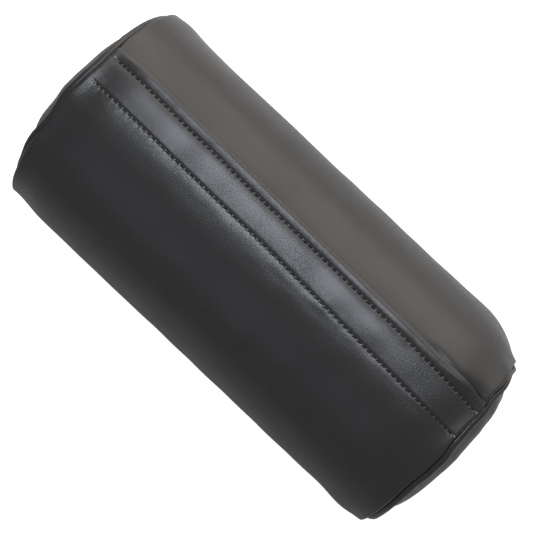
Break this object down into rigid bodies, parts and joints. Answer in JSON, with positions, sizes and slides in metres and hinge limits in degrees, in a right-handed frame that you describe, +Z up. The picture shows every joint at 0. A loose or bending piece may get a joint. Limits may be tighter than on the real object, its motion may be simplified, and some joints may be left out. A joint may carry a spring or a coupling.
{
  "type": "bolster pillow",
  "caption": "Round massage bolster in grained black leatherette: foam core, wadding and liner in a sewn cover with domed ends and a topstitched hook-and-loop flap.",
  "frame": {"origin": "on the surface it lies on, under the middle of the roll", "axes": "+X along the roll, +Z up from the flat it lies on, +Y to the side that the flap's folded edge is on"},
  "size_m": [0.335, 0.152, 0.1498],
  "materials": {
    "leatherette": "fine-grained black leatherette with a soft sheen",
    "tape": "black woven hook-and-loop tape",
    "thread": "black polyester sewing thread with a slight shine",
    "liner": "plain white cotton",
    "wadding": "white polyester fibre",
    "foam": "cream open-cell polyurethane foam"
  },
  "bodies": {
    "cover": {"body_panel": "leatherette", "end_panel_left": "leatherette", "end_panel_right": "leatherette", "loop_tape": "tape", "loop_stitch_row_inner": "thread", "loop_stitch_row_edge": "thread", "end_seam_thread_left": "thread", "end_seam_thread_right": "thread", "liner_sleeve": "liner", "liner_end_left": "liner", "liner_end_right": "liner", "wadding_wrap": "wadding", "wadding_end_left": "wadding", "wadding_end_right": "wadding", "foam_core": "foam"},
    "flap": {"flap_panel": "leatherette", "hook_tape": "tape", "topstitch_row_inner": "thread", "topstitch_row_edge": "thread"}
  },
  "joints": [
    {"name": "flap_opening", "type": "hinge", "parent": "cover", "child": "flap", "pos_m": [0, -0.0008, 0.14874], "axis": [1, 0, 0], "range_deg": [0, 50]}
  ]
}
